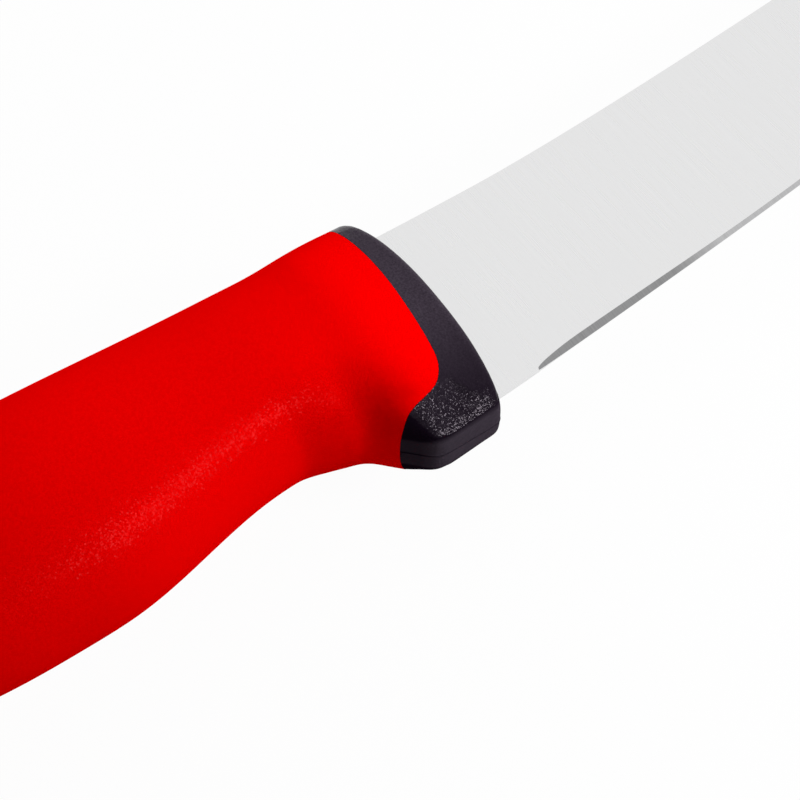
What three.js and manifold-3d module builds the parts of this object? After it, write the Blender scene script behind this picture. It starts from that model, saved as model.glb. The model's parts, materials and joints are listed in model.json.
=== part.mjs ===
// Curved butcher knife: a ground steel blade, a black moulded core with collar and finger guard,
// and a red soft grip moulded over the core. Millimetres, +Z up, the knife lying on its side.
// X runs along the knife to the tip, Y from the cutting edge to the spine, Z through the thickness.
// Until the last lines, x is 0 at the collar's front face and y and z are 0 on the handle's axis.
import * as THREE from 'three';
import { mergeVertices } from 'three/addons/utils/BufferGeometryUtils.js';
import Module from 'manifold-3d';

// Blade
const BLADE_LENGTH = 190; // collar to tip
const HEEL_HEIGHT = 31.3; // spine to edge where the blade leaves the collar
const SPINE_LEVEL = 14.3; // spine above the handle's axis at the collar
const SPINE_STRAIGHT = 16.15; // straight stretch of spine ahead of the collar
const SPINE_START_PULL = 30; // how long the spine's curve holds its first direction
const SPINE_TIP_PULL = 70;
const SPINE_TIP_ANGLE = 6; // degrees of climb at the tip
const TIP_RISE = 16; // tip above the spine's level at the collar
const EDGE_HEEL_ANGLE = 4.3; // degrees of climb at the heel
const EDGE_HEEL_PULL = 110;
const EDGE_TIP_ANGLE = 67.5;
const EDGE_TIP_PULL = 31;
const SPINE_THICKNESS = 2.5;
const TIP_THICKNESS = 1.1;
const EDGE_THICKNESS = 0.6; // steel left behind the sharpened edge
const CUTTING_THICKNESS = 0.1;
const BEVEL_START = 6.9; // blunt heel ahead of the collar
const BEVEL_RUN_IN = 6.5;
const BEVEL_RUN_IN_POWER = 0.3; // 1 is a pointed start of the strip, less is rounder
const BEVEL_HEEL_WIDTH = 1.12; // sharpened strip near the heel
const BEVEL_WIDTH = 0.65; // and along the rest of the edge
const BEVEL_EVEN_AT = 52; // where the strip has narrowed
const HEEL_EMBED = 3; // full-height steel inside the collar

// Tang inside the handle
const TANG_HEIGHT = 15; // at the collar
const TANG_END_HEIGHT = 12;
const TANG_END_COVER = 21; // core behind the tang's end
const TANG_OVERLAP = 1; // length over which tang and blade run into each other
const CORE_WALL = 2.8; // core under the tang at the neck
const LOCK_HOLE_DIAMETER = 7;
const LOCK_HOLE_COUNT = 3;
const LOCK_HOLE_FIRST = 28; // behind the collar's front face

// Outside of the handle, as distances behind the collar's front face and from the handle's axis
const HANDLE_LENGTH = 133;
const COLLAR_RISE = 4.7; // collar above the blade's spine
const COLLAR_BAND = 4; // even stretch of the collar along the spine
const COLLAR_HALF_WIDTH = 7.4; // at the front face
const COLLAR_ROUND = 1.2; // rounded front edge
const COLLAR_ARC = 115; // radius of the front face in the side view, bowed forward
const GUARD_LENGTH = 9.8; // flat underside of the guard
const GUARD_DROP = 3.25; // guard below the blade's heel
const GUARD_HALF_WIDTH = 10.4;
const RIDGE_HALF_WIDTH = 3.8; // ridge between the guard's underside and its slanted facet
const GROOVE_START = 20; // foot of the guard's rear face, where the finger groove starts
const GROOVE_DEPTH = 13;
const NECK_AT = 28; // slimmest place, at the rear of the finger groove
const NECK_TOP = 17.9;
const NECK_DEPTH = 10.9;
const NECK_HALF_WIDTH = 10.9;
const SWELL_AT = 58;
const SWELL_LENGTH = 10; // even stretch of the palm swell
const SWELL_TOP = 18.5;
const SWELL_DEPTH = 16.3;
const SWELL_HALF_WIDTH = 12.7;
const WAIST_FROM_BUTT = 33;
const WAIST_DEPTH = 13.4;
const WAIST_HALF_WIDTH = 11.4;
const BUTT_LENGTH = 7; // even stretch at the butt
const BUTT_TOP = 15.5;
const BUTT_DEPTH = 16;
const BUTT_HALF_WIDTH = 11;
const BUTT_ROUND = 6;

// Cross-section of the handle
const WIDEST_LEVEL = -1.5; // height of the widest line
const SECTION_POWER = 2.15; // 2 is an ellipse, more is boxier
const GUARD_POWER = 3;
const FACET_TOP = -33; // degrees round the section: upper line of the guard's slanted facet
const FACET_TOP_FRONT = -64; // the same line at the front face
const FACET_CLIMB = 6; // the upper line climbs over this length behind the front face
const FACET_FADE = 5; // the facet rounds off over this length behind the guard

// Colour line between collar and grip, and the way the two plastics hold each other
const SEAM_TOP = 3; // behind the front face at the spine
const SEAM_SIDE = 5.9; // behind the front face where the line starts to turn under
const SEAM_TURN_LEVEL = -11;
const SEAM_TURN_LENGTH = 4; // along the knife
const SEAM_FALL = 10; // degrees that the line above the guard falls towards the butt
const SEAM_LOW_LEVEL = -14.5; // the grip ends about here, above the guard
const GRIP_WALL = 3.4;
const BUTT_WALL = 8;
const RIB_COUNT = 6; // ribs inside the grip, in grooves of the core
const RIB_FIRST = 40;
const RIB_WIDTH = 5;
const RIB_DEPTH = 1.2;
const FIT = 0.3; // clearance between pieces

// Fineness of the lofts
const STEPS_SIDE = 16; // from the spine down to the facet, on each side
const STEPS_FACET = 11;
const STEPS_UNDER = 2;
const RINGS_ROUND = 4;
const RINGS_COLLAR = 10;
const RINGS_NECK = 12;
const RINGS_INSIDE_NECK = 4;
const RING_PITCH = 4.5;
const RUN_IN_SECTIONS = 6;
const BLADE_SECTIONS = 42;
const HOLE_STEPS = 12;
const TIP_END = 0.998; // last section, as a share of the blade's outline
const TIP_BEVEL_SHARE = 0.3; // most of the blade's height that the sharpened strip takes at the tip
const SEAM_POINTS = 24; // along the curved stretch of the colour line
const SEAM_STEPS = 40; // halvings when a point of the colour line is searched

const wasm = await Module();
wasm.setup();
const { lerp, clamp, smoothstep, degToRad, radToDeg, mapLinear } = THREE.MathUtils;

// Places that follow from the driving dimensions
const heelLevel = SPINE_LEVEL - HEEL_HEIGHT;
const collarTop = SPINE_LEVEL + COLLAR_RISE;
const guardDepth = GUARD_DROP - heelLevel;
const waistAt = HANDLE_LENGTH - WAIST_FROM_BUTT;
const buttAt = HANDLE_LENGTH - BUTT_LENGTH;
const coreEnd = HANDLE_LENGTH - BUTT_WALL;
const coreInset = GRIP_WALL + FIT;
const tangLength = coreEnd - TANG_END_COVER;
const tangLevel = coreInset + CORE_WALL - NECK_DEPTH + TANG_HEIGHT / 2;
const lockHolePitch = (tangLength - TANG_END_HEIGHT - LOCK_HOLE_FIRST) / (LOCK_HOLE_COUNT - 1);
const ribPitch = (coreEnd - RIB_FIRST) / RIB_COUNT;

// Value along a list of [place, value] keys, level at each key and smooth between them
function eased(keys, at) {
  const next = keys.findIndex(([place]) => at < place);
  if (next < 1) return (next === 0 ? keys[0] : keys.at(-1))[1];
  const [from, start] = keys[next - 1];
  const [to, end] = keys[next];
  return lerp(start, end, smoothstep(at, from, to));
}

function signedPower(value, power) {
  return Math.sign(value) * Math.abs(value) ** power;
}

function direction(degrees, length) {
  const angle = degToRad(degrees);
  return new THREE.Vector2(Math.cos(angle), Math.sin(angle)).multiplyScalar(length);
}

function solid(positions, triangles) {
  return new wasm.Manifold(new wasm.Mesh({
    numProp: 3,
    vertProperties: new Float32Array(positions),
    triVerts: new Uint32Array(triangles),
  }));
}

// Closed solid through rings of points, each ring with the same even count. Every four-sided field is
// folded along its shorter diagonal. Both ends are closed by strips between the points of one side and
// those opposite, so that a bowed end keeps its bow.
function loft(rings) {
  const count = rings[0].length;
  const points = rings.flat();
  const last = points.length - count;
  const triangles = [];
  for (let start = 0; start < last; start += count) {
    for (let i = 0; i < count; i++) {
      const a = start + i;
      const b = start + ((i + 1) % count);
      const [c, d] = [a + count, b + count];
      const fold = points[a].distanceTo(points[d]) < points[b].distanceTo(points[c]);
      triangles.push(...(fold ? [a, c, d, a, d, b] : [a, c, b, b, c, d]));
    }
  }
  const cap = [[0, 1, count - 1]];
  for (let i = 1; i < count / 2; i++) {
    const opposite = count - i;
    cap.push([i, i + 1, opposite]);
    if (i + 1 < opposite - 1) cap.push([i + 1, opposite - 1, opposite]);
  }
  for (const [a, b, c] of cap) triangles.push(a, b, c, last + c, last + b, last + a);
  return solid(points.flatMap((point) => point.toArray()), triangles);
}

function extruded(shape, depth) {
  const options = { depth, bevelEnabled: false, curveSegments: HOLE_STEPS };
  const geometry = new THREE.ExtrudeGeometry(shape, options);
  geometry.translate(0, 0, -depth / 2);
  geometry.deleteAttribute('normal');
  geometry.deleteAttribute('uv');
  const merged = mergeVertices(geometry);
  return solid(merged.getAttribute('position').array, merged.index.array);
}

// Blade: outline of two curves that meet at the tip, ground thin from spine to edge
const heel = new THREE.Vector2(0, heelLevel);
const tip = new THREE.Vector2(BLADE_LENGTH, SPINE_LEVEL + TIP_RISE);
const spineTurn = new THREE.Vector2(SPINE_STRAIGHT, SPINE_LEVEL);
const spine = new THREE.CurvePath();
spine.add(new THREE.LineCurve(new THREE.Vector2(0, SPINE_LEVEL), spineTurn));
spine.add(new THREE.CubicBezierCurve(
  spineTurn,
  spineTurn.clone().add(direction(0, SPINE_START_PULL)),
  tip.clone().sub(direction(SPINE_TIP_ANGLE, SPINE_TIP_PULL)),
  tip,
));
const edge = new THREE.CubicBezierCurve(
  heel,
  heel.clone().add(direction(EDGE_HEEL_ANGLE, EDGE_HEEL_PULL)),
  tip.clone().sub(direction(EDGE_TIP_ANGLE, EDGE_TIP_PULL)),
  tip,
);

// Section of the blade from a spine point to an edge point, grown all round for its seat in the core
function bladeSection(back, front, share, grow) {
  const across = front.clone().sub(back);
  const height = across.length();
  across.normalize();
  const sharpened = clamp((front.x - BEVEL_START) / BEVEL_RUN_IN, 0, 1) ** BEVEL_RUN_IN_POWER;
  const narrowed = smoothstep(front.x, BEVEL_START + BEVEL_RUN_IN, BEVEL_EVEN_AT);
  const strip = sharpened * lerp(BEVEL_HEEL_WIDTH, BEVEL_WIDTH, narrowed);
  const bevel = clamp(strip, CUTTING_THICKNESS, TIP_BEVEL_SHARE * height);
  const shoulder = front.clone().addScaledVector(across, -bevel);
  const outline = [
    [back.clone().addScaledVector(across, -grow), lerp(SPINE_THICKNESS, TIP_THICKNESS, share ** 2)],
    [shoulder, EDGE_THICKNESS],
    [front.clone().addScaledVector(across, grow), lerp(EDGE_THICKNESS, CUTTING_THICKNESS, sharpened)],
  ];
  const near = outline.map(([p, thick]) => new THREE.Vector3(p.x, p.y, thick / 2 + grow));
  const far = outline.map(([p, thick]) => new THREE.Vector3(p.x, p.y, -thick / 2 - grow));
  return [near[0], far[0], far[1], far[2], near[2], near[1]];
}

function tang(grow) {
  const front = TANG_OVERLAP - HEEL_EMBED + grow;
  const half = TANG_HEIGHT / 2 + grow;
  const endHalf = TANG_END_HEIGHT / 2 + grow;
  const endAt = TANG_END_HEIGHT / 2 - tangLength;
  const outline = new THREE.Shape();
  outline.moveTo(front, tangLevel - half);
  outline.lineTo(front, tangLevel + half);
  outline.lineTo(endAt, tangLevel + endHalf);
  outline.absarc(endAt, tangLevel, endHalf, Math.PI / 2, -Math.PI / 2);
  for (let i = 0; i < LOCK_HOLE_COUNT; i++) {
    const at = -LOCK_HOLE_FIRST - i * lockHolePitch;
    const hole = new THREE.Path();
    hole.absarc(at, tangLevel, LOCK_HOLE_DIAMETER / 2 - grow, 0, Math.PI * 2);
    outline.holes.push(hole);
  }
  return extruded(outline, SPINE_THICKNESS + 2 * grow);
}

// Sections of the blade as shares of its outline, close together where the sharpened strip starts
function sectionShares() {
  const start = BEVEL_START / edge.getLength();
  const even = (BEVEL_START + BEVEL_RUN_IN) / edge.getLength();
  const shares = [0];
  for (let i = 0; i < RUN_IN_SECTIONS; i++) shares.push(lerp(start, even, (i / RUN_IN_SECTIONS) ** 2));
  for (let i = 0; i <= BLADE_SECTIONS; i++) shares.push(lerp(even, TIP_END, i / BLADE_SECTIONS));
  return shares;
}

function blade(grow) {
  const embedded = new THREE.Vector2(-HEEL_EMBED - grow, 0);
  const sections = [bladeSection(spine.getPoint(0).add(embedded), edge.getPoint(0).add(embedded), 0, grow)];
  for (const share of sectionShares()) {
    sections.push(bladeSection(spine.getPoint(share), edge.getPointAt(share), share, grow));
  }
  return loft(sections).add(tang(grow));
}

// Handle: three lines along it set the top, the underside and the width of its oval sections
const topLine = [
  [COLLAR_BAND, collarTop],
  [GROOVE_START, NECK_TOP],
  [SWELL_AT, SWELL_TOP],
  [HANDLE_LENGTH, BUTT_TOP],
];
const underLine = [
  [GUARD_LENGTH, guardDepth],
  [GROOVE_START, GROOVE_DEPTH],
  [NECK_AT, NECK_DEPTH],
  [SWELL_AT, SWELL_DEPTH],
  [SWELL_AT + SWELL_LENGTH, SWELL_DEPTH],
  [waistAt, WAIST_DEPTH],
  [buttAt, BUTT_DEPTH],
];
const sideLine = [
  [0, COLLAR_HALF_WIDTH],
  [GUARD_LENGTH + FACET_FADE, GUARD_HALF_WIDTH],
  [NECK_AT, NECK_HALF_WIDTH],
  [SWELL_AT + SWELL_LENGTH / 2, SWELL_HALF_WIDTH],
  [waistAt, WAIST_HALF_WIDTH],
  [buttAt, BUTT_HALF_WIDTH],
];

// How far the arc of the collar's front face falls back at a height
function bowed(y) {
  return y ** 2 / (2 * COLLAR_ARC);
}

// Point of the oval section at a place along the handle, drawn in by an inset
function sectionPoint(at, degrees, inset) {
  const angle = degToRad(degrees);
  const upper = degrees > 0 && degrees < 180;
  const guard = 1 - smoothstep(at, GUARD_LENGTH, GROOVE_START);
  const power = 2 / (upper ? SECTION_POWER : lerp(SECTION_POWER, GUARD_POWER, guard));
  const reach = upper ? eased(topLine, at) - WIDEST_LEVEL : eased(underLine, at) + WIDEST_LEVEL;
  const y = WIDEST_LEVEL + (reach - inset) * signedPower(Math.sin(angle), power);
  const z = (eased(sideLine, at) - inset) * signedPower(Math.cos(angle), power);
  const bow = bowed(y) * (1 - smoothstep(at, 0, NECK_AT));
  return new THREE.Vector3(-at - bow, y, z);
}

// Point number i round the skin: down one side from the spine to the underside and up the other,
// with the slanted facet of the guard flattened between its upper line and its ridge
const HALF_STEPS = STEPS_SIDE + STEPS_FACET + STEPS_UNDER;
const STEPS = 2 * HALF_STEPS;

function skinPoint(at, i, inset = 0) {
  const step = i <= HALF_STEPS ? i : STEPS - i;
  const onGuard = clamp(at, COLLAR_ROUND, GUARD_LENGTH);
  const ridgeShare = RIDGE_HALF_WIDTH / eased(sideLine, onGuard);
  const ridge = -radToDeg(Math.acos(ridgeShare ** (GUARD_POWER / 2)));
  const climbing = clamp(at, COLLAR_ROUND, FACET_CLIMB);
  const facetTop = mapLinear(climbing, COLLAR_ROUND, FACET_CLIMB, FACET_TOP_FRONT, FACET_TOP);
  const onFacet = (step - STEPS_SIDE) / STEPS_FACET;
  let degrees = lerp(facetTop, ridge, onFacet);
  if (onFacet < 0) degrees = lerp(90, facetTop, step / STEPS_SIDE);
  if (onFacet > 1) degrees = lerp(-90, ridge, (HALF_STEPS - step) / STEPS_UNDER);
  const point = sectionPoint(at, degrees, inset);
  if (onFacet > 0 && onFacet < 1) {
    const flat = sectionPoint(at, facetTop, inset).lerp(sectionPoint(at, ridge, inset), onFacet);
    point.lerp(flat, 1 - smoothstep(at, GUARD_LENGTH, GUARD_LENGTH + FACET_FADE));
  }
  if (i > HALF_STEPS) point.z = -point.z;
  return point;
}

// Colour line in the side view: down from the spine, a round turn, and back above the guard
const seamTop = new THREE.Vector2(-SEAM_TOP, collarTop);
const seamSide = new THREE.Vector2(-SEAM_SIDE, SEAM_TURN_LEVEL);
const cornerShare = (collarTop - SEAM_LOW_LEVEL) / (collarTop - SEAM_TURN_LEVEL);
const seamCorner = seamTop.clone().lerp(seamSide, cornerShare);
const seamBack = seamCorner.clone().sub(direction(SEAM_FALL, SEAM_TURN_LENGTH));
const seamEnd = seamCorner.clone().sub(direction(SEAM_FALL, NECK_AT));
const colourLine = new THREE.CurvePath();
colourLine.add(new THREE.LineCurve(seamTop, seamSide));
colourLine.add(new THREE.QuadraticBezierCurve(seamSide, seamCorner, seamBack));
colourLine.add(new THREE.LineCurve(seamBack, seamEnd));
const seamPoints = colourLine.getPoints(SEAM_POINTS);

function aheadOfSeam(x, y) {
  if (y <= seamEnd.y) return true;
  const next = Math.max(1, seamPoints.findIndex((point) => point.y <= y));
  const [upper, lower] = [seamPoints[next - 1], seamPoints[next]];
  return x > mapLinear(y, upper.y, lower.y, upper.x, lower.x);
}

// Where each line along the skin crosses the colour line, moved towards the collar by a gap
function seamPlaces(gap) {
  return Array.from({ length: STEPS }, (_, i) => {
    let [front, back] = [0, NECK_AT];
    for (let n = 0; n < SEAM_STEPS; n++) {
      const middle = (front + back) / 2;
      const { x, y } = skinPoint(middle, i);
      if (aheadOfSeam(x + bowed(y) - gap, y + gap)) front = middle;
      else back = middle;
    }
    return back;
  });
}

// Rings of the skin: between two sets of places, and round an end with a radius
function ring(place, inset) {
  return Array.from({ length: STEPS }, (_, i) => skinPoint(place(i), i, inset));
}

function ringsBetween(from, to, count, inset) {
  return Array.from({ length: count + 1 }, (_, n) => ring((i) => lerp(from(i), to(i), n / count), inset));
}

function roundedRings(end, inwards, radius) {
  return Array.from({ length: RINGS_ROUND }, (_, n) => {
    const angle = ((n / RINGS_ROUND) * Math.PI) / 2;
    return ring(() => end + inwards * radius * (1 - Math.cos(angle)), radius * (1 - Math.sin(angle)));
  });
}

// Inside of the handle, where core and grip meet, from the grip's front edge to an end, with its ribs
const gripEdge = seamPlaces(0);

function insideRings(end, inset) {
  const rings = ringsBetween((i) => gripEdge[i], () => NECK_AT, RINGS_INSIDE_NECK, inset);
  const ribTop = RIB_DEPTH + RIB_WIDTH;
  const rib = [[0, 0], [RIB_DEPTH, RIB_DEPTH], [ribTop, RIB_DEPTH], [ribTop + RIB_DEPTH, 0]];
  for (let n = 0; n < RIB_COUNT; n++) {
    const start = RIB_FIRST + n * ribPitch;
    for (const [along, depth] of rib) rings.push(ring(() => start + along, inset + depth));
  }
  rings.push(ring(() => end, inset));
  return rings;
}

function core() {
  const collarEdge = seamPlaces(FIT);
  const front = roundedRings(0, 1, COLLAR_ROUND);
  const collar = ringsBetween(() => COLLAR_ROUND, (i) => collarEdge[i], RINGS_COLLAR, 0);
  const step = ring((i) => collarEdge[i], coreInset);
  const body = insideRings(coreEnd, coreInset);
  return loft([...front, ...collar, step, ...body]).subtract(blade(FIT));
}

function grip() {
  const neck = ringsBetween((i) => gripEdge[i], () => NECK_AT, RINGS_NECK, 0);
  const roundStart = HANDLE_LENGTH - BUTT_ROUND;
  const count = Math.round((roundStart - NECK_AT) / RING_PITCH);
  const palm = ringsBetween(() => NECK_AT, () => roundStart, count, 0);
  const butt = roundedRings(HANDLE_LENGTH, -1, BUTT_ROUND).reverse();
  const inside = insideRings(coreEnd + FIT, GRIP_WALL).reverse();
  return loft([...inside, ...neck, ...palm.slice(1), ...butt]);
}

// Scene
function piece(name, shape, look) {
  const { vertProperties, triVerts } = shape.getMesh();
  const geometry = new THREE.BufferGeometry();
  geometry.setAttribute('position', new THREE.BufferAttribute(vertProperties, 3));
  geometry.setIndex(new THREE.BufferAttribute(triVerts, 1));
  geometry.computeVertexNormals();
  const mesh = new THREE.Mesh(geometry, new THREE.MeshStandardMaterial(look));
  mesh.name = name;
  return mesh;
}

const knife = new THREE.Group();
knife.add(piece('blade', blade(0), { color: 0xdcdddd, roughness: 0.32, metalness: 0.9 }));
knife.add(piece('handle_core', core(), { color: 0x2e2a2e, roughness: 0.6, metalness: 0 }));
knife.add(piece('grip', grip(), { color: 0xd60505, roughness: 0.45, metalness: 0 }));

// The origin is under the middle of the knife as it lies on its side
const box = new THREE.Box3().setFromObject(knife);
const middle = box.getCenter(new THREE.Vector3());
knife.position.set(-middle.x, -middle.y, -box.min.z);

export default knife;
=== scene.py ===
# %% [markdown]
# # A curved butcher knife with a two-colour moulded handle
#
# The real knife is three pieces. A steel blade runs on into the handle as a hidden tang. A hard
# black core is moulded round that tang and shows as the collar and the finger guard. A softer
# red grip is moulded over the core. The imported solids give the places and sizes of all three,
# so this lesson only makes their surfaces finer and gives them their finishes.

# %% Load the fixed frame
import json
import math

import bpy
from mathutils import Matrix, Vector

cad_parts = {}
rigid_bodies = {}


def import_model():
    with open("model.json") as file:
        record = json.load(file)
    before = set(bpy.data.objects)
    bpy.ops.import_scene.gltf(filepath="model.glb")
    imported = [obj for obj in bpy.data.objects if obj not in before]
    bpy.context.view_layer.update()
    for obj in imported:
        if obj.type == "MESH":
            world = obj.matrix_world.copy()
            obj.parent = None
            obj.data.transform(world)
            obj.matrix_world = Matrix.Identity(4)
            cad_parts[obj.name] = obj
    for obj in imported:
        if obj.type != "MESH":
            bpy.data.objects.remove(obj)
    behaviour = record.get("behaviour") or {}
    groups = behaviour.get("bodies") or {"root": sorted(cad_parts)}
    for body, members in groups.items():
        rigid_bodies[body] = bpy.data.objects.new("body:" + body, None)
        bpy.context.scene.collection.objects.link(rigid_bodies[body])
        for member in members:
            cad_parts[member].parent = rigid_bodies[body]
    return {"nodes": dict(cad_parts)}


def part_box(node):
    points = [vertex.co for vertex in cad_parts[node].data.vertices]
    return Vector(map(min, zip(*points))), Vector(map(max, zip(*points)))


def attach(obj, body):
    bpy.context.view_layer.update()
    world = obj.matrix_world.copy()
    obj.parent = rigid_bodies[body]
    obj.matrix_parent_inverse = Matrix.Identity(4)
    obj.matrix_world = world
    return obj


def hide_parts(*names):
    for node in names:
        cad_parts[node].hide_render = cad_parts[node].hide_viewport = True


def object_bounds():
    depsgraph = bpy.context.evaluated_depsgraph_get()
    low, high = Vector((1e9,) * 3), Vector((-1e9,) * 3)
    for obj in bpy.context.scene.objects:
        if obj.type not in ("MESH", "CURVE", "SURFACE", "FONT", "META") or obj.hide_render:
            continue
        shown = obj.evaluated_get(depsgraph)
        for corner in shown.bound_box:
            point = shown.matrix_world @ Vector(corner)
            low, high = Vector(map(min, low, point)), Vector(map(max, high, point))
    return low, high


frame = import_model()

MM = 0.001
cad_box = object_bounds()


def in_mm(place, digits=2):
    """A place in rounded millimetres, for printing."""
    return [round(value / MM, digits) for value in place]


print("CAD box in mm:", [in_mm(corner) for corner in cad_box])

# %% [markdown]
# ## The camera
#
# The picture is a close view from above the handle: the collar fills the middle, and both the
# butt and the tip run out of the frame. A camera is set most safely by what it looks at: one aim
# point on the blade's mid plane, the two angles it looks down along, and its distance. A long
# lens keeps the sides of the handle almost parallel, as a product photographer would.

# %% Helpers for aiming


def toward(turn, rise):
    """The direction from the knife to something seen at that turn and rise; turn 0 is the edge side."""
    level = math.cos(rise)
    return Vector((math.sin(turn) * level, -math.cos(turn) * level, math.sin(rise)))


def face(thing, target):
    """Turns a camera or a lamp to face a place."""
    thing.rotation_euler = (target - thing.location).to_track_quat("-Z", "Y").to_euler()


# %% Set the camera
blade_low, blade_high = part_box("blade")
mid_height = (blade_low.z + blade_high.z) / 2

AIM = Vector((-39.67 * MM, -14.69 * MM, mid_height))
CAMERA_TURN = math.radians(-34.5)
CAMERA_RISE = math.radians(57)
CAMERA_DISTANCE = 213.8 * MM
CLIP_START = 10 * MM
LENS_MM = 72

bpy.ops.object.select_all(action="DESELECT")
bpy.ops.object.camera_add(location=AIM + toward(CAMERA_TURN, CAMERA_RISE) * CAMERA_DISTANCE)
camera = bpy.context.object
camera.name = "camera"
face(camera, AIM)
camera.data.lens = LENS_MM
camera.data.clip_start = CLIP_START
bpy.context.scene.camera = camera
print("camera at", in_mm(camera.location, 1), "mm")

# %% [markdown]
# ## Working by hand on a copy
#
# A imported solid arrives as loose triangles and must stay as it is. So each piece starts as a
# copy: its doubled corners are merged, its triangles are paired into four-sided faces, and its
# hard edges are creased. A Subdivision Surface then rounds everything between those edges. It
# could also be remeshed, but that would soften the colour line, which is crisp on the real one.

# %% Helpers that make a copy
WELD = 0.002 * MM
PAIR_ANGLE = math.radians(40)
PAIR_SHAPE = math.radians(60)


def only(piece):
    """Selects one object and nothing else."""
    bpy.ops.object.select_all(action="DESELECT")
    piece.select_set(True)
    bpy.context.view_layer.objects.active = piece


def welded_copy(node, name):
    """A new object with the node's shape, its triangles merged and paired."""
    piece = bpy.data.objects.new(name, frame["nodes"][node].data.copy())
    piece.data.materials.clear()
    bpy.context.scene.collection.objects.link(piece)
    only(piece)
    bpy.ops.object.mode_set(mode="EDIT")
    bpy.ops.mesh.select_mode(type="FACE")
    bpy.ops.mesh.select_all(action="SELECT")
    bpy.ops.mesh.customdata_custom_splitnormals_clear()
    bpy.ops.mesh.remove_doubles(threshold=WELD)
    bpy.ops.mesh.tris_convert_to_quads(face_threshold=PAIR_ANGLE, shape_threshold=PAIR_SHAPE)
    bpy.ops.object.mode_set(mode="OBJECT")
    return piece


# %% [markdown]
# Edges are picked in two ways: by how sharply the surface turns there, or by where they lie. The
# second way leaves the piece in edit mode, ready for the operator that works on those edges.

# %% Helpers that pick edges
FULL_CREASE = 1.0


def open_for_edges(piece):
    """Opens the piece in edit mode, for picking edges, with none picked yet."""
    only(piece)
    bpy.ops.object.mode_set(mode="EDIT")
    bpy.ops.mesh.select_mode(type="EDGE")
    bpy.ops.mesh.select_all(action="DESELECT")


def crease_sharp(piece, angle):
    """Creases the edges where the surface turns by more than the angle."""
    open_for_edges(piece)
    bpy.ops.mesh.edges_select_sharp(sharpness=angle)
    bpy.ops.transform.edge_crease(value=FULL_CREASE)
    bpy.ops.object.mode_set(mode="OBJECT")


def pick_edges(piece, test):
    """Picks the edges whose ends both pass a test on their place, and stays in edit mode."""
    open_for_edges(piece)
    bpy.ops.object.mode_set(mode="OBJECT")
    points = piece.data.vertices
    picked = 0
    for edge in piece.data.edges:
        edge.select = all(test(points[v].co) for v in edge.vertices)
        picked += edge.select
    bpy.ops.object.mode_set(mode="EDIT")
    return picked


# %% [markdown]
# A shaped copy is rounded, shaded smooth apart from its hard edges, and takes the place of its
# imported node.

# %% Helpers that finish a copy
ROUNDING_LEVELS = 2


def rounded(piece, angle):
    """Rounds the piece with a Subdivision Surface; edges sharper than the angle are shaded hard."""
    only(piece)
    rounding = piece.modifiers.new("rounding", "SUBSURF")
    rounding.levels = ROUNDING_LEVELS
    rounding.render_levels = ROUNDING_LEVELS
    bpy.ops.object.modifier_apply(modifier=rounding.name)
    bpy.ops.object.shade_smooth_by_angle(angle=angle)


def settle(piece, node):
    """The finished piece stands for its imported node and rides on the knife's one body."""
    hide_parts(node)
    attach(piece, "root")
    low = [min(v.co[k] for v in piece.data.vertices) for k in range(3)]
    high = [max(v.co[k] for v in piece.data.vertices) for k in range(3)]
    print(piece.name, len(piece.data.polygons), "faces, mm:", in_mm(low), in_mm(high))


# %% [markdown]
# ## The steel blade
#
# The blade is stamped from sheet, ground thinner towards the edge on a belt, and then gets a
# narrow second bevel that makes it sharp. The two corners of the spine are broken with an
# abrasive wheel, or they would cut the hand that guides the knife. So the copy keeps its ground
# lines as creases, and only the spine's corners are bevelled.

# %% Model the steel blade
GROUND_EDGE = math.radians(7)
SPINE_LEAN = 0.8
SPINE_BREAK = 0.2 * MM
SPINE_BREAK_STEPS = 2
collar_low, collar_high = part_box("handle_core")

steel_blade = welded_copy("blade", "steel_blade")
bare_faces = [f for f in steel_blade.data.polygons if f.center.x > collar_high.x]
spine_points = {v for f in bare_faces if f.normal.y > SPINE_LEAN for v in f.vertices}
spine_places = {tuple(steel_blade.data.vertices[v].co) for v in spine_points}
found = pick_edges(steel_blade, lambda place: tuple(place) in spine_places)
bpy.ops.mesh.bevel(offset=SPINE_BREAK, segments=SPINE_BREAK_STEPS, affect="EDGES")
bpy.ops.object.mode_set(mode="OBJECT")
print("spine:", found, "edges broken")

crease_sharp(steel_blade, GROUND_EDGE)
rounded(steel_blade, GROUND_EDGE)
settle(steel_blade, "blade")

# %% [markdown]
# ## The finger groove of the red grip
#
# The grip is a soft plastic skin a few millimetres thick, with a groove for the forefinger behind
# the guard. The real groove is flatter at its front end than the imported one. A modeller takes hold
# of the groove's lower points there and pulls them down with Proportional Editing, so that the
# skin around them follows.

# %% Ease the finger groove
GROOVE_FRONT = 12 * MM
GROOVE_BACK = 14.8 * MM
GROOVE_HALF = 7 * MM
GROOVE_PULL = 0.6 * MM
GROOVE_REACH = 4 * MM

red_grip = welded_copy("grip", "red_grip")
grip_low, grip_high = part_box("grip")
axis_level = (grip_low.y + grip_high.y) / 2


def in_groove(place):
    """True for the lower points at the front end of the finger groove."""
    between = GROOVE_FRONT < grip_high.x - place.x < GROOVE_BACK
    return between and place.y < axis_level - GROOVE_HALF and abs(place.z - mid_height) < GROOVE_HALF


held = pick_edges(red_grip, in_groove)
bpy.ops.transform.translate(value=(0, -GROOVE_PULL, 0), use_proportional_edit=True,
                            proportional_edit_falloff="SMOOTH", proportional_size=GROOVE_REACH)
bpy.ops.object.mode_set(mode="OBJECT")
print("groove:", held, "edges pulled down", round(GROOVE_PULL / MM, 2), "mm")

# %% [markdown]
# ## The rim of the red grip
#
# The grip's front edge follows the S-shaped colour line, where it meets the black core flush. The
# rim is found as the outer one of the two sharp loops at the front: each of its points has a
# partner straight inwards, nearer the axis.

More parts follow.
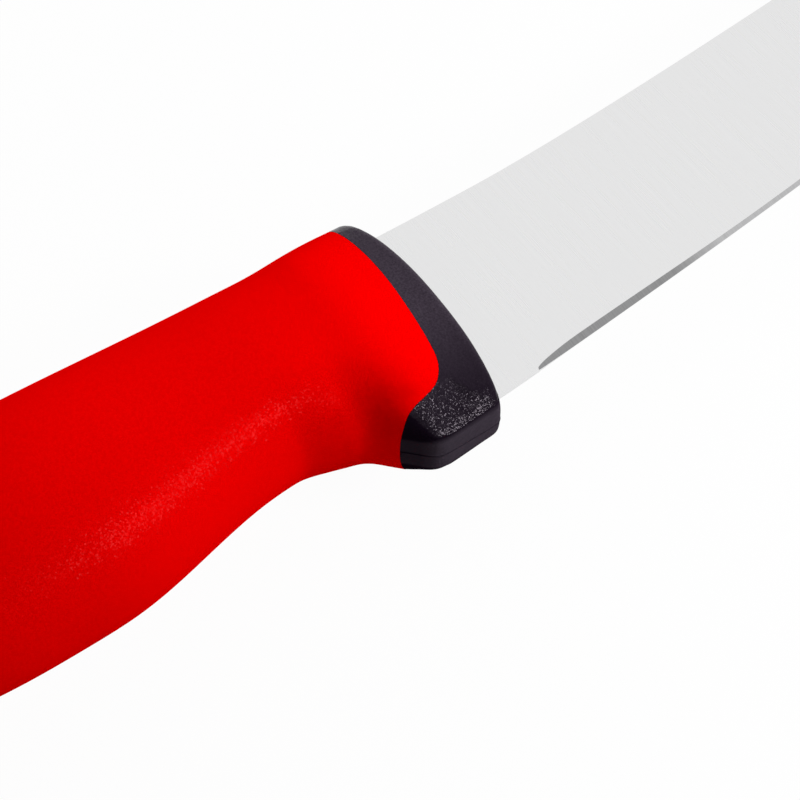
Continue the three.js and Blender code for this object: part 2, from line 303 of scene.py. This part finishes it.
# %% Find the rim of the red grip
RIM_EDGE = math.radians(60)
RIM_ZONE = 30 * MM
BESIDE_SPINE = math.radians(1)


def sharp_points(piece, angle):
    """The numbers of the points on sharp edges at the front of the handle."""
    open_for_edges(piece)
    bpy.ops.mesh.edges_select_sharp(sharpness=angle)
    bpy.ops.object.mode_set(mode="OBJECT")
    sharp = {v for edge in piece.data.edges if edge.select for v in edge.vertices}
    return {v for v in sharp if piece.data.vertices[v].co.x > grip_high.x - RIM_ZONE}


def from_axis(place):
    """How far a place lies from the handle's axis."""
    return math.hypot(place.y - axis_level, place.z - mid_height)


def round_axis(place):
    """The angle of a place round the handle's axis, counted from just beside the spine."""
    return (math.atan2(place.z - mid_height, place.y - axis_level) + BESIDE_SPINE) % math.tau


loops = sharp_points(red_grip, RIM_EDGE)
places = [v.co.copy() for v in red_grip.data.vertices]
walls = [e.vertices for e in red_grip.data.edges if not e.select and loops.issuperset(e.vertices)]
inner = {min(ends, key=lambda v: from_axis(places[v])) for ends in walls}
grip_rim = sorted((places[v] for v in loops - inner), key=round_axis)
print("the grip's rim has", len(grip_rim), "points")

# %% [markdown]
# ## Fitting one piece to its neighbour
#
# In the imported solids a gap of 0.3 mm runs round every piece, so that nothing touches. On the
# real knife the plastics are moulded straight on to what they cover, and only a hair line shows.
# By hand one would snap the rim of one piece to the other. A Shrinkwrap on just those points
# does the same, and keeps the rest of the piece as it was.

# %% A helper that draws a rim up to its neighbour
HAIR_LINE = 0.06 * MM


def draw_near(piece, rim, neighbour):
    """Moves the points of a rim up to the neighbour, apart from the hair line."""
    group = piece.vertex_groups.new(name="rim")
    group.add(sorted(rim), 1.0, "REPLACE")
    only(piece)
    snap = piece.modifiers.new("snap", "SHRINKWRAP")
    snap.target = neighbour
    snap.vertex_group = group.name
    snap.wrap_method = "NEAREST_SURFACEPOINT"
    snap.wrap_mode = "OUTSIDE_SURFACE"
    snap.offset = HAIR_LINE
    bpy.ops.object.modifier_apply(modifier=snap.name)
    piece.vertex_groups.clear()
    print(piece.name, "has", len(rim), "rim points drawn up to", neighbour.name)


# %% [markdown]
# ## The black core
#
# What shows of the core is the collar round the blade and the guard under the forefinger, with
# a slanted facet on each side. The slot for the blade closes on the steel, and the collar's rear
# rim closes on the grip, as plastics do that are moulded on to each other. It is the core's rim
# that moves, point by point, because the red edge is what draws the colour line.

# %% Close the slot on the blade
SLOT_HALF = 1.8 * MM
SLOT_DEPTH = 2 * MM
SLOT_MARGIN = 2.5 * MM

black_core = welded_copy("handle_core", "black_core")


def on_slot_rim(place):
    """True for the points round the blade on the collar's front face."""
    ahead = place.x > collar_high.x - SLOT_DEPTH
    between = collar_low.y + SLOT_MARGIN < place.y < collar_high.y - SLOT_MARGIN
    return ahead and between and abs(place.z - mid_height) < SLOT_HALF


slot_rim = [v.index for v in black_core.data.vertices if on_slot_rim(v.co)]
draw_near(black_core, slot_rim, steel_blade)

# %% Close the collar's rim on the grip
RIM_REACH = 1.2 * MM
COLLAR_EDGE = math.radians(40)


def near_grip(place):
    """True for a place close to the grip's rim."""
    return min((place - other).length for other in grip_rim) < RIM_REACH


corners = sharp_points(black_core, COLLAR_EDGE)
collar_rim = [v for v in black_core.data.vertices if v.index in corners and near_grip(v.co)]
collar_rim.sort(key=lambda v: round_axis(v.co))
for point, partner in zip(collar_rim, grip_rim, strict=True):
    point.co = partner + (point.co - partner).normalized() * HAIR_LINE
rim_places = {tuple(point.co) for point in collar_rim}
print("the collar's rim has", len(rim_places), "points drawn up to the grip")

crease_sharp(black_core, RIM_EDGE)
print("creased:", pick_edges(black_core, lambda place: tuple(place) in rim_places), "edges of the rim")
bpy.ops.transform.edge_crease(value=FULL_CREASE)
bpy.ops.object.mode_set(mode="OBJECT")

# %% [markdown]
# Where the slanted facet meets the flat underside runs a ridge. It is no sharp edge, but softened
# to about half a millimetre, so it gets a part of a crease. The facet's upper line gets none.

# %% The ridges under the guard
UNDERSIDE = 4.4 * MM
RIDGE_FROM_PLANE = 3.8 * MM
RIDGE_CREASE = 0.7
ON_LINE = 0.05 * MM


def under_guard(place, from_plane):
    """True for the points under the guard at a distance from the knife's mid plane."""
    off_line = abs(abs(place.z - mid_height) - from_plane)
    return place.y < collar_low.y + UNDERSIDE and off_line < ON_LINE


ridges = pick_edges(black_core, lambda place: under_guard(place, RIDGE_FROM_PLANE))
bpy.ops.transform.edge_crease(value=RIDGE_CREASE)
bpy.ops.object.mode_set(mode="OBJECT")
print("guard ridges:", ridges, "edges")

# %% [markdown]
# The two halves of the mould meet on the knife's mid plane, and leave a fine line along the
# underside of the guard. The edge on the mid plane is bevelled into a narrow strip of three lines,
# and the two outer lines are pressed in a little, so that the middle one stands up as it does on
# the real knife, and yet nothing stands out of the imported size.

# %% The parting line under the guard
PARTING_HALF = 0.2 * MM
PARTING_HEIGHT = 0.13 * MM
PARTING_STRIPS = 2

print("parting line:", pick_edges(black_core, lambda place: under_guard(place, 0)), "edges")
bpy.ops.mesh.bevel(offset=PARTING_HALF, segments=PARTING_STRIPS, affect="EDGES")
bpy.ops.object.mode_set(mode="OBJECT")
pressed = pick_edges(black_core, lambda place: under_guard(place, PARTING_HALF))
bpy.ops.transform.translate(value=(0, PARTING_HEIGHT, 0))
bpy.ops.transform.edge_crease(value=FULL_CREASE)
bpy.ops.object.mode_set(mode="OBJECT")
print("pressed in:", pressed, "edges,", round(PARTING_HEIGHT / MM, 2), "mm")

# %% Round the black core
SMOOTH_EDGE = math.radians(32)

rounded(black_core, SMOOTH_EDGE)
settle(black_core, "handle_core")

# %% [markdown]
# ## The red grip
#
# The rest of the grip is one smooth skin from its rim over finger groove and palm swell to the
# round butt. Only the rim is creased, and the Subdivision Surface does the rest.

# %% Model the red grip
crease_sharp(red_grip, RIM_EDGE)
rounded(red_grip, SMOOTH_EDGE)
settle(red_grip, "grip")

# %% [markdown]
# ## Finishes
#
# The finishes are built from nodes on Object coordinates, so a pattern stays where it is on the
# piece, and its scale is a count of features per metre. What is the same all over a surface is
# written on the shader itself, and only what varies comes from a node.

# %% Helpers for nodes


def finish_for(name):
    """A new node material, its node tree and its main shader."""
    material = bpy.data.materials.new(name)
    material.use_nodes = True
    tree = material.node_tree
    return material, tree, tree.nodes["Principled BSDF"]


def add(tree, kind, **values):
    """A node with its inputs and settings filled in by name."""
    node = tree.nodes.new(kind)
    for name, value in values.items():
        if name in node.inputs:
            node.inputs[name].default_value = value
        else:
            setattr(node, name, value)
    return node


def feed(tree, socket, value):
    """Links a node's output to a socket, or writes a number or colour on it."""
    if isinstance(value, bpy.types.NodeSocket):
        tree.links.new(value, socket)
    else:
        socket.default_value = value


def fill(tree, shader, values):
    """Feeds several of the shader's sockets by name."""
    for name, value in values.items():
        feed(tree, shader.inputs[name], value)


# %% [markdown]
# Most patterns are noise with features of a given size, and a stretch along one axis turns them
# into lines. Map Range then turns the noise, or a place on the knife, into the values that a
# finish needs.

# %% Helpers for patterns
NOISE_LOW = 0.3
NOISE_HIGH = 0.7


def pattern(tree, size, detail=2.0, stretch=(1, 1, 1)):
    """Noise with features of about that size in metres, pulled out along the axes."""
    place = add(tree, "ShaderNodeTexCoord")
    shaped = add(tree, "ShaderNodeMapping", Scale=[1 / s for s in stretch])
    noise = add(tree, "ShaderNodeTexNoise", Scale=1 / size, Detail=detail)
    tree.links.new(place.outputs["Object"], shaped.inputs["Vector"])
    tree.links.new(shaped.outputs["Vector"], noise.inputs["Vector"])
    return noise.outputs["Fac"]


def mapped(tree, value, start, end, low, high):
    """A value that goes from low to high while the given one goes from start to end."""
    node = add(tree, "ShaderNodeMapRange")
    for name, number in zip(("From Min", "From Max", "To Min", "To Max"), (start, end, low, high)):
        node.inputs[name].default_value = number
    tree.links.new(value, node.inputs["Value"])
    return node.outputs["Result"]


def ranged(tree, noise, low, high):
    """Spreads the middle values of a noise, which are most of it, from low to high."""
    return mapped(tree, noise, NOISE_LOW, NOISE_HIGH, low, high)


def placed(tree):
    """The three coordinates of a place on the knife, X, Y and Z."""
    place = add(tree, "ShaderNodeTexCoord")
    split = add(tree, "ShaderNodeSeparateXYZ")
    tree.links.new(place.outputs["Object"], split.inputs["Vector"])
    return split.outputs["X"], split.outputs["Y"], split.outputs["Z"]


# %% [markdown]
# A value blends two colours or becomes the height of a shallow relief. The Mix node has sockets of
# the same name for numbers, vectors and colours, so those for colours are found by their number.

# %% Helpers for colour and relief
COLOUR_A = 6
COLOUR_B = 7
COLOUR_RESULT = 2


def blended(tree, value, first, second):
    """A colour that goes from the first to the second; each is a colour or a node's output."""
    node = add(tree, "ShaderNodeMix", data_type="RGBA")
    tree.links.new(value, node.inputs["Factor"])
    feed(tree, node.inputs[COLOUR_A], first)
    feed(tree, node.inputs[COLOUR_B], second)
    return node.outputs[COLOUR_RESULT]


def bumped(tree, height, depth):
    """Bump of a depth in metres."""
    node = add(tree, "ShaderNodeBump", Strength=1.0, Distance=depth)
    tree.links.new(height, node.inputs["Height"])
    return node.outputs["Normal"]


# %% [markdown]
# A moulded skin glitters because its grains lean different ways. A bump smaller than a pixel would
# blur to a haze, so each grain is a small flat cell with a tilt of its own.

# %% Helpers for grain
EVEN_LEAN = (0.5, 0.5, 0.5)


def grains(tree, size):
    """Cells of about that size, each one with a colour and a place of its own."""
    place = add(tree, "ShaderNodeTexCoord")
    cells = add(tree, "ShaderNodeTexVoronoi", Scale=1 / size)
    tree.links.new(place.outputs["Object"], cells.inputs["Vector"])
    return cells


def grained(tree, cells, tilt, under, centre=EVEN_LEAN):
    """Leans each cell its own way, up to the tilt; the centre is the colour of a cell that stays level."""
    centred = add(tree, "ShaderNodeVectorMath", operation="SUBTRACT")
    centred.inputs[1].default_value = centre
    lean = add(tree, "ShaderNodeVectorMath", operation="SCALE")
    tilted = add(tree, "ShaderNodeVectorMath", operation="ADD")
    unit = add(tree, "ShaderNodeVectorMath", operation="NORMALIZE")
    tree.links.new(cells.outputs["Color"], centred.inputs[0])
    tree.links.new(centred.outputs[0], lean.inputs[0])
    feed(tree, lean.inputs["Scale"], tilt)
    tree.links.new(under, tilted.inputs[0])
    tree.links.new(lean.outputs[0], tilted.inputs[1])
    tree.links.new(tilted.outputs[0], unit.inputs[0])
    return unit.outputs[0]


# %% [markdown]
# ### Red soft plastic
#
# The grip is dyed right through, so its colour hardly varies. Its skin copies the fine grain of
# the mould, which breaks a highlight up into tiny sparks, and is a little smoother in places.
# The grain tilts the glossy skin more than the dyed plastic under it, so the red between the sparks
# stays calm. Beside the collar the mould is duller, and there are no sparks. The skin mirrors very
# little of the white room, which keeps the red as pure as it looks on the real one.

# %% Finish the grip
RED_DARK = (0.86, 0.0, 0.0, 1)
RED_LIGHT = (0.90, 0.0, 0.0, 1)
PURE_RED = (1.0, 0.0, 0.0, 1)
DYE_CLOUD = 30 * MM
GLOSS_PATCH = 6 * MM
SKIN_WAVE = 14 * MM
SKIN_WAVE_DEPTH = 0.05 * MM
RED_GRAIN = 0.2 * MM
SKIN_TILT = 0.16
SPARK_TILT = 0.32
RED_SPARKS = 0.003
WHITE_SPARKS = 0.0005
DULL_START = 21.5 * MM
DULL_END = 15.5 * MM

red, tree, shader = finish_for("red_soft_plastic")
cloud = ranged(tree, pattern(tree, DYE_CLOUD), 0.0, 1.0)
along, _, _ = placed(tree)
dull_from = grip_high.x - DULL_START
dull_to = grip_high.x - DULL_END
waves = bumped(tree, pattern(tree, SKIN_WAVE), SKIN_WAVE_DEPTH)
cells = grains(tree, RED_GRAIN)
fill(tree, shader, {
    "Base Color": blended(tree, cloud, RED_DARK, RED_LIGHT),
    "Metallic": mapped(tree, along, dull_from, dull_to, RED_SPARKS, 0.0),
    "Roughness": ranged(tree, pattern(tree, GLOSS_PATCH), 0.30, 0.38),
    "Normal": grained(tree, cells, SKIN_TILT, waves),
    "Specular IOR Level": 0.0,
    "Specular Tint": PURE_RED,
    "Coat Weight": mapped(tree, along, dull_from, dull_to, WHITE_SPARKS, 0.0),
    "Coat Roughness": 0.22,
    "Coat IOR": 4.0,
    "Coat Normal": grained(tree, cells, SPARK_TILT, waves),
})
red_grip.data.materials.append(red)
print("finish:", red.name)

# %% [markdown]
# ### Black hard plastic
#
# The core's mould is spark-eroded: coarse pits on the guard's facets, where the finger must not
# slip, and a finer grain on the collar. Under a lamp the pits glitter, most of all along the ridge,
# where they are rubbed smooth. The black is painted lighter up on the collar and deeper towards the
# guard, as painted light and shade. The place on the knife also decides how far its grains tilt.

# %% Helpers for places on the core


def below(tree, value, limit, fade):
    """1 below a limit and 0 above it, with a fade between."""
    return mapped(tree, value, limit, limit + fade, 1.0, 0.0)


def combined(tree, operation, one, other):
    """Two values put together by a Math node; each is a number or a node's output."""
    node = add(tree, "ShaderNodeMath", operation=operation)
    feed(tree, node.inputs[0], one)
    feed(tree, node.inputs[1], other)
    return node.outputs[0]


def off_plane(tree, through):
    """How far a place lies from the knife's mid plane."""
    either_side = add(tree, "ShaderNodeMath", operation="ABSOLUTE")
    tree.links.new(combined(tree, "SUBTRACT", through, mid_height), either_side.inputs[0])
    return either_side.outputs[0]


# %% The colour of collar and facets, with painted light and shade
# Painted light and shade: the collar's greys stand lighter, and the deepest black is painted shade towards
# the guard.
COLLAR_DARK = (0.027, 0.0195, 0.029, 1)
COLLAR_LIGHT = (0.045, 0.034, 0.048, 1)
SHADED_BLACK = (0.0075, 0.0040, 0.0090, 1)
BLACK_GLOSS = (1.0, 0.88, 1.0, 1)
SPECKLE = 0.3 * MM
SPECKLE_DETAIL = 1.0
SHADE_HEIGHT = 2.8 * MM
SHADE_FADE = 13 * MM


def speckled(tree, dark, light):
    """The speckle of the moulded black, between two colours."""
    noise = pattern(tree, SPECKLE, SPECKLE_DETAIL)
    return blended(tree, ranged(tree, noise, 0.0, 1.0), dark, light)


black, tree, shader = finish_for("black_hard_plastic")
along, up, through = placed(tree)
# Painted shade: towards the guard the black is blended to its deepest tone.
painted_shade_low = below(tree, up, collar_low.y + SHADE_HEIGHT, SHADE_FADE)
fill(tree, shader, {
    "Base Color": blended(tree, painted_shade_low, speckled(tree, COLLAR_DARK, COLLAR_LIGHT), SHADED_BLACK),
    "Specular IOR Level": 0.045,
    "Specular Tint": BLACK_GLOSS,
})
black_core.data.materials.append(black)
print("finish:", black.name)

# %% Where the facets and their ridges are
FACET_HEIGHT = 6.2 * MM
LINE_FADE = 0.8 * MM
RIDGE_BAND = 0.5 * MM
RIDGE_FADE = 0.2 * MM

# The facet ends in front on a slanted line, along which x and y have the same sum.
upper_line = collar_low.y + FACET_HEIGHT
front_line = collar_high.x + collar_low.y
low_enough = below(tree, up, upper_line, LINE_FADE)
far_enough = below(tree, combined(tree, "ADD", along, up), front_line, LINE_FADE)
on_facet = combined(tree, "MINIMUM", low_enough, far_enough)
near_ridge = below(tree, off_plane(tree, through), RIDGE_FROM_PLANE + RIDGE_BAND, RIDGE_FADE)
print("facet grain below y", round(upper_line / MM, 1), "mm")

# %% The grain of collar and facets
PIT = 0.11 * MM
HOLLOW = 0.45 * MM
HOLLOW_DEPTH = 0.02 * MM
COLLAR_TILT = 0.12
GUARD_TILT = 0.38
PIT_LEAN = (0.5, 0.1, 0.5)
RIDGE_GLOSS = 0.8
CHANCE_DULL = 0.36
CHANCE_BRIGHT = 0.70
DULL_PIT = 0.85
BRIGHT_PIT = 0.2


def hollowed(tree):
    """The shallow hollows that the sparks leave in the mould."""
    return bumped(tree, pattern(tree, HOLLOW), HOLLOW_DEPTH)


cells = grains(tree, PIT)
chance = add(tree, "ShaderNodeTexWhiteNoise")
tree.links.new(cells.outputs["Position"], chance.inputs["Vector"])
rubbed = combined(tree, "MULTIPLY", near_ridge, RIDGE_GLOSS)
polish = combined(tree, "ADD", rubbed, chance.outputs["Value"])
tilt = mapped(tree, on_facet, 0.0, 1.0, COLLAR_TILT, GUARD_TILT)
fill(tree, shader, {
    "Roughness": mapped(tree, polish, CHANCE_DULL, CHANCE_BRIGHT, DULL_PIT, BRIGHT_PIT),
    "Normal": grained(tree, cells, tilt, hollowed(tree), PIT_LEAN),
})
print("pits of", round(PIT / MM, 2), "mm")

# %% [markdown]
# ### Matt black under the guard
#
# The underside of the guard and its flank towards the finger are plain and matt. They get a
# material of their own, without any mirror shine, because the white floor would show in them as
# a grey haze. Their grey is the lit part: painted shade turns it deeper black towards the ridge,
# on the rear flank and in a darker line along the mould's parting line.

# %% Finish the underside of the guard
MATT_DARK = (0.042, 0.033, 0.045, 1)
MATT_LIGHT = (0.052, 0.041, 0.055, 1)
MATT_PATCH = 2 * MM
FLANK_START = 14 * MM
FLANK_FADE = 2 * MM
# Painted shade: how far the rear flank and the parting line are darkened.
FLANK_PAINTED_SHADE = 0.57
UNDER_FADE = 1.0 * MM
PARTING_PAINTED_SHADE = 0.5

matt, tree, shader = finish_for("black_matt_plastic")
along, _, through = placed(tree)
off = off_plane(tree, through)
# Painted shade: the lit grey turns deeper black towards the ridge, on the rear flank and along the parting
# line.
open_part = below(tree, off, RIDGE_FROM_PLANE - UNDER_FADE, UNDER_FADE)
flank_front = collar_high.x - FLANK_START
flank = mapped(tree, along, flank_front, flank_front + FLANK_FADE, FLANK_PAINTED_SHADE, 0.0)
parting = mapped(tree, off, PARTING_HALF / 2, PARTING_HALF, PARTING_PAINTED_SHADE, 0.0)
lit = combined(tree, "SUBTRACT", combined(tree, "SUBTRACT", open_part, flank), parting)
fill(tree, shader, {
    "Base Color": blended(tree, lit, SHADED_BLACK, speckled(tree, MATT_DARK, MATT_LIGHT)),
    "Roughness": ranged(tree, pattern(tree, MATT_PATCH), 0.7, 0.9),
    "Normal": hollowed(tree),
    "Specular IOR Level": 0.0,
})
black_core.data.materials.append(matt)
print("finish:", matt.name)

# %% Give the underside its finish
FLANK_LEAN = 0.35


def faces_finger_or_floor(facet):
    """True for the faces of the guard's underside and of its flank towards the finger."""
    under = abs(facet.center.z - mid_height) < RIDGE_FROM_PLANE
    return facet.center.y < upper_line and (under or facet.normal.x < -FLANK_LEAN)


def second_finish(piece, test):
    """Gives the faces that pass a test the piece's second finish, and counts them."""
    chosen = [facet for facet in piece.data.polygons if test(facet)]
    for facet in chosen:
        facet.material_index = 1
    return len(chosen)


print(matt.name, "on", second_finish(black_core, faces_finger_or_floor), "faces")

# %% [markdown]
# ### Satin steel
#
# The belt that grinds the blade runs from spine to edge and leaves fine lines across it. They
# are noise pulled out along the belt's run. The lines only change how the steel scatters
# light, so they go into roughness and a very shallow bump.

# %% Finish the blade's sides
STEEL_DARK = (0.772, 0.772, 0.774, 1)
STEEL_LIGHT = (0.790, 0.790, 0.792, 1)
BELT_LINE = 0.25 * MM
BELT_DEPTH = 0.0006 * MM
LINE_DETAIL = 3.0
ACROSS_BLADE = (1, 60, 60)

steel, tree, shader = finish_for("satin_steel")
lines = pattern(tree, BELT_LINE, LINE_DETAIL, ACROSS_BLADE)
fill(tree, shader, {
    "Base Color": blended(tree, ranged(tree, lines, 0.0, 1.0), STEEL_DARK, STEEL_LIGHT),
    "Metallic": 1.0,
    "Roughness": ranged(tree, lines, 0.26, 0.32),
    "Normal": bumped(tree, lines, BELT_DEPTH),
})
steel_blade.data.materials.append(steel)
print("finish:", steel.name)

# %% [markdown]
# ### The sharpened strip
#
# The last pass over a coarser stone leaves deeper scratches, so the strip scatters more. It is
# coloured darker than the sides, and a painted reflection makes it darker still by the heel and
# lighter farther on. It is a second material on the faces that lean towards the edge.

# %% Finish the sharpened strip
# Painted reflection: the heel colours are darker and the colours farther on lighter.
HEEL_DARK = (0.255, 0.255, 0.258, 1)
HEEL_LIGHT = (0.325, 0.325, 0.328, 1)
STRIP_DARK = (0.450, 0.450, 0.454, 1)
STRIP_LIGHT = (0.540, 0.540, 0.544, 1)
SCRATCH = 0.15 * MM
SCRATCH_DEPTH = 0.0005 * MM
DIM_REFLECTION_REACH = 33 * MM
HEEL_FADE = 9 * MM

stone, tree, shader = finish_for("stone_ground_steel")
scratches = pattern(tree, SCRATCH, LINE_DETAIL, ACROSS_BLADE)
shade = ranged(tree, scratches, 0.0, 1.0)
dim_reflection = blended(tree, shade, HEEL_DARK, HEEL_LIGHT)
bright_reflection = blended(tree, shade, STRIP_DARK, STRIP_LIGHT)
along, _, _ = placed(tree)
# Painted reflection: the strip is blended from its darker heel colours to its lighter ones.
dim_reflection_end = collar_high.x + DIM_REFLECTION_REACH
past_dim_reflection = mapped(tree, along, dim_reflection_end, dim_reflection_end + HEEL_FADE, 0.0, 1.0)
fill(tree, shader, {
    "Base Color": blended(tree, past_dim_reflection, dim_reflection, bright_reflection),
    "Metallic": 1.0,
    "Roughness": ranged(tree, scratches, 0.34, 0.42),
    "Normal": bumped(tree, scratches, SCRATCH_DEPTH),
})
steel_blade.data.materials.append(stone)
print("finish:", stone.name)

# %% Give the strip its finish
STRIP_LEAN = math.cos(math.radians(5))
SIDE_LEAN = 0.5


def leans_to_edge(facet):
    """True for the faces of the sharpened strip, on both sides of the blade."""
    return facet.normal.y < 0 and SIDE_LEAN < abs(facet.normal.z) < STRIP_LEAN


print(stone.name, "on", second_finish(steel_blade, leans_to_edge), "faces")

# %% [markdown]
# ## Floor and light
#
# The knife lies on white paper in a white room. Paper that only reflects the lamps would turn
# grey where they are weak, so for what the camera and the steel see of it, most of it glows
# white by itself, and the rest still takes the knife's shadow. The room does the same: it looks
# white, and gives only as much light as the shading on the grip asks for.

# %% Helper for what is seen directly or in a reflection


def seen(tree):
    """1 for a ray from the camera, off a glossy surface or through glass, and 0 for other light."""
    rays = add(tree, "ShaderNodeLightPath").outputs
    either = combined(tree, "MAXIMUM", rays["Is Camera Ray"], rays["Is Glossy Ray"])
    return combined(tree, "MAXIMUM", either, rays["Is Transmission Ray"])


# %% The white floor
FLOOR_SIDE = 20.0
FLOOR_GLOW = 0.97
PAPER_WHITE = (0.75, 0.75, 0.75, 1)

bpy.ops.object.select_all(action="DESELECT")
bpy.ops.mesh.primitive_plane_add(size=FLOOR_SIDE, location=(0, 0, cad_box[0].z))
floor = bpy.context.object
floor.name = "floor"

paper, tree, shader = finish_for("white_paper")
fill(tree, shader, {"Base Color": PAPER_WHITE, "Roughness": 0.9, "Specular IOR Level": 0.0})
glow = add(tree, "ShaderNodeEmission", Strength=1.0)
mixed = add(tree, "ShaderNodeMixShader")
tree.links.new(combined(tree, "MULTIPLY", seen(tree), FLOOR_GLOW), mixed.inputs["Fac"])
tree.links.new(shader.outputs["BSDF"], mixed.inputs[1])
tree.links.new(glow.outputs["Emission"], mixed.inputs[2])
tree.links.new(mixed.outputs["Shader"], tree.nodes["Material Output"].inputs["Surface"])
floor.data.materials.append(paper)
print("floor at", round(cad_box[0].z / MM, 2), "mm")

# %% The white room
ROOM_LIGHT = 0.14
WHITE = (1, 1, 1, 1)

world = bpy.context.scene.world or bpy.data.worlds.new("studio")
bpy.context.scene.world = world
world.use_nodes = True
tree = world.node_tree
fill(tree, tree.nodes["Background"], {
    "Color": WHITE,
    "Strength": mapped(tree, seen(tree), 0.0, 1.0, ROOM_LIGHT, 1.0),
})
print("room light", ROOM_LIGHT)

# %% [markdown]
# ## The lamps
#
# Where the lamps stood can be read off the shading of the real grip: it is brightest by the
# collar, fades towards the butt, and its back is lit as well. Three soft lamps round the collar
# give that shading. They would burn out on the blade, so they are kept out of reflections. The
# streak on the grip and the glitter on the guard point to one small lamp in front. It is seen
# only in reflections, and light linking gives it to the two plastics alone, because on the
# steel it would show as a white blot from behind. Each lamp is given by how bright its face
# looks; its power follows from its area.

# %% Helper for the lamps
LAMP_AIM = Vector((collar_high.x, AIM.y, mid_height))


def softbox(name, turn, rise, distance, size, brightness):
    """A square area lamp aimed at the collar; angles are in degrees, lengths in metres."""
    bpy.ops.object.select_all(action="DESELECT")
    bpy.ops.object.light_add(type="AREA")
    lamp = bpy.context.object
    lamp.name = name
    lamp.location = LAMP_AIM + toward(math.radians(turn), math.radians(rise)) * distance
    face(lamp, LAMP_AIM)
    lamp.visible_camera = False
    lamp.data.size = size
    lamp.data.energy = brightness * math.pi * size ** 2
    print(name, round(lamp.data.energy, 2), "W")
    return lamp


# %% Set the lamps
key_softbox = softbox("key_softbox", turn=50, rise=32, distance=0.28, size=0.08, brightness=33.8)
back_softbox = softbox("back_softbox", turn=130, rise=47, distance=0.3, size=0.27, brightness=1.83)
low_softbox = softbox("low_softbox", turn=170, rise=20, distance=0.6, size=0.35, brightness=3.1)
for lamp in (key_softbox, back_softbox, low_softbox):
    lamp.visible_glossy = False

glint_lamp = softbox("glint_lamp", turn=23, rise=42, distance=0.28, size=0.08, brightness=120)
glint_lamp.visible_diffuse = False
only(glint_lamp)
red_grip.select_set(True)
black_core.select_set(True)
bpy.ops.object.light_linking_receivers_link(link_state="INCLUDE")
lit_pieces = glint_lamp.light_linking.receiver_collection.objects
print("the glint falls on:", [piece.name for piece in lit_pieces])

# %% [markdown]
# ## Colours
#
# The Standard view shows a colour as it is written, where Blender's usual view would soften the
# red.

# %% Standard colours
bpy.context.scene.view_settings.view_transform = "Standard"
print("view:", bpy.context.scene.view_settings.view_transform)
